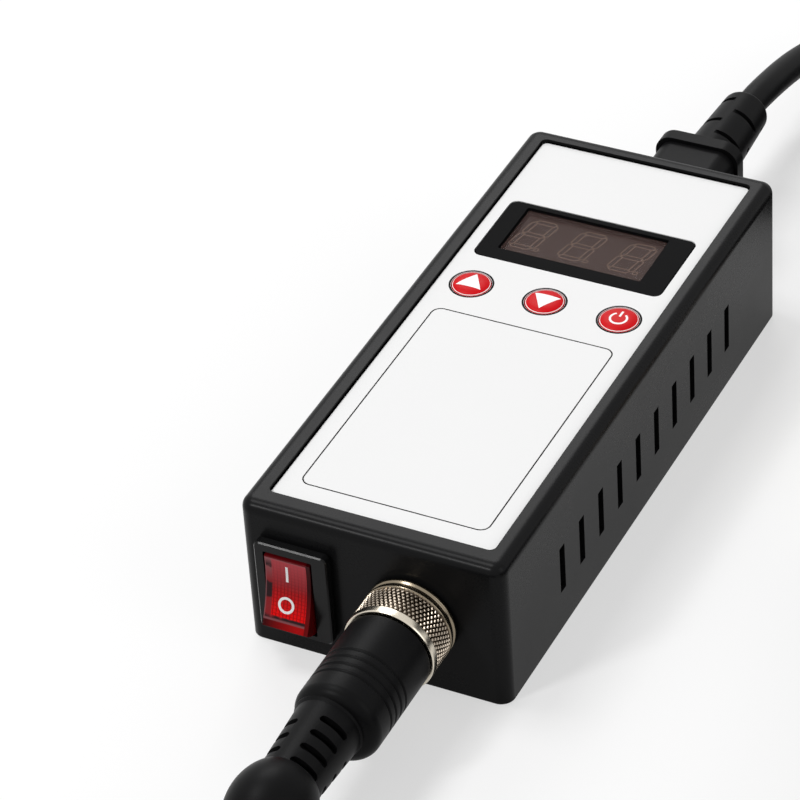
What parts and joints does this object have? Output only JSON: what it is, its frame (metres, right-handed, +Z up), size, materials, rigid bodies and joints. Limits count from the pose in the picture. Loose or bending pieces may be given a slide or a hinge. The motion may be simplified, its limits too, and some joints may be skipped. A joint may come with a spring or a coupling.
{
  "type": "hot air rework station",
  "caption": "Portable hot air rework station: slim black case with keypad, display window, rocker switch, screw-locked handle plug, mains lead and hot air handle",
  "frame": {"origin": "centre of the flat underside of the control case, on the surface that the station rests on", "axes": "+Z up out of the keypad, -Y out of the front panel with the rocker switch and the handle plug, +Y out of the rear panel, +X to the right seen from the front"},
  "size_m": [0.1785, 0.4122, 0.0398],
  "materials": {
    "case_plastic": "satin black moulded plastic",
    "gloss_black": "smooth black plastic",
    "label_film": "white printed film",
    "display_tint": "dark red-brown tinted window",
    "red_plastic": "red moulded button plastic",
    "rocker_red": "translucent red plastic",
    "circuit_board": "green solder mask",
    "component_black": "black component body",
    "transformer_core": "dark ferrite core with a wound coil",
    "capacitor_sleeve": "dark blue sleeve",
    "heatsink_metal": "plain extruded aluminium",
    "fuse_glass": "glass tube with metal ends",
    "header_white": "white plastic",
    "neon_glass": "clear glass lamp",
    "nickel": "warm nickel plating",
    "steel": "bright steel",
    "rubber": "satin black moulded rubber",
    "cord_jacket": "satin black cord jacket",
    "strap": "woven black strap",
    "mica": "mica plates wound with resistance wire"
  },
  "bodies": {
    "station": {"top_shell": "case_plastic", "bottom_cover": "case_plastic", "handle_shell_left": "case_plastic", "handle_shell_right": "case_plastic", "handle_grille": "case_plastic", "window_bezel": "gloss_black", "rocker_housing": "gloss_black", "face_label": "label_film", "display_window": "display_tint", "display_board": "circuit_board", "power_board": "circuit_board", "led_display": "component_black", "switch_up": "component_black", "switch_down": "component_black", "switch_power": "component_black", "triac": "component_black", "plug_insert": "component_black", "socket_insert": "component_black", "mains_inlet": "component_black", "transformer": "transformer_core", "filter_capacitor": "capacitor_sleeve", "heatsink": "heatsink_metal", "fuse": "fuse_glass", "handle_header": "header_white", "rocker_lamp": "neon_glass", "panel_socket": "nickel", "socket_nut": "nickel", "plug_sleeve": "nickel", "cover_screw_1": "steel", "cover_screw_2": "steel", "cover_screw_3": "steel", "cover_screw_4": "steel", "board_screw_1": "steel", "board_screw_2": "steel", "handle_screw_1": "steel", "handle_screw_2": "steel", "fan_motor": "steel", "heater_collar": "steel", "heater_barrel": "steel", "nozzle": "steel", "nozzle_screw": "steel", "plug_boot": "rubber", "mains_connector": "rubber", "wall_plug": "rubber", "handle_gland": "rubber", "mains_cord": "cord_jacket", "mains_coil": "cord_jacket", "mains_cord_end": "cord_jacket", "handle_cable": "cord_jacket", "handle_coil": "cord_jacket", "handle_cable_end": "cord_jacket", "mains_coil_tie": "strap", "handle_coil_tie": "strap", "heating_core": "mica"},
    "rocker": {"rocker_key": "rocker_red"},
    "button_up": {"button_up": "red_plastic"},
    "button_down": {"button_down": "red_plastic"},
    "button_power": {"button_power": "red_plastic"},
    "coupling_nut": {"coupling_nut": "nickel"},
    "fan_rotor": {"fan_rotor": "component_black"}
  },
  "joints": [
    {"name": "rocker_tilt", "type": "hinge", "parent": "station", "child": "rocker", "pos_m": [-0.0163, -0.0669, 0.0156], "axis": [1, 0, 0], "range_deg": [0, 24]},
    {"name": "button_up_press", "type": "slide", "parent": "station", "child": "button_up", "axis": [0, 0, -1], "range_m": [0, 0.00025], "stiffness_N_per_m": 600},
    {"name": "button_down_press", "type": "slide", "parent": "station", "child": "button_down", "axis": [0, 0, -1], "range_m": [0, 0.00025], "stiffness_N_per_m": 600},
    {"name": "button_power_press", "type": "slide", "parent": "station", "child": "button_power", "axis": [0, 0, -1], "range_m": [0, 0.00025], "stiffness_N_per_m": 600},
    {"name": "coupling_nut_turn", "type": "hinge", "parent": "station", "child": "coupling_nut", "pos_m": [0.0085, -0.067, 0.0164], "axis": [0, -1, 0], "range_deg": [0, 1440]},
    {"name": "fan_spin", "type": "hinge", "parent": "station", "child": "fan_rotor", "pos_m": [0.12665, -0.10717, 0.02077], "axis": [-0.3683, 0.9286, -0.0452], "continuous": true}
  ]
}
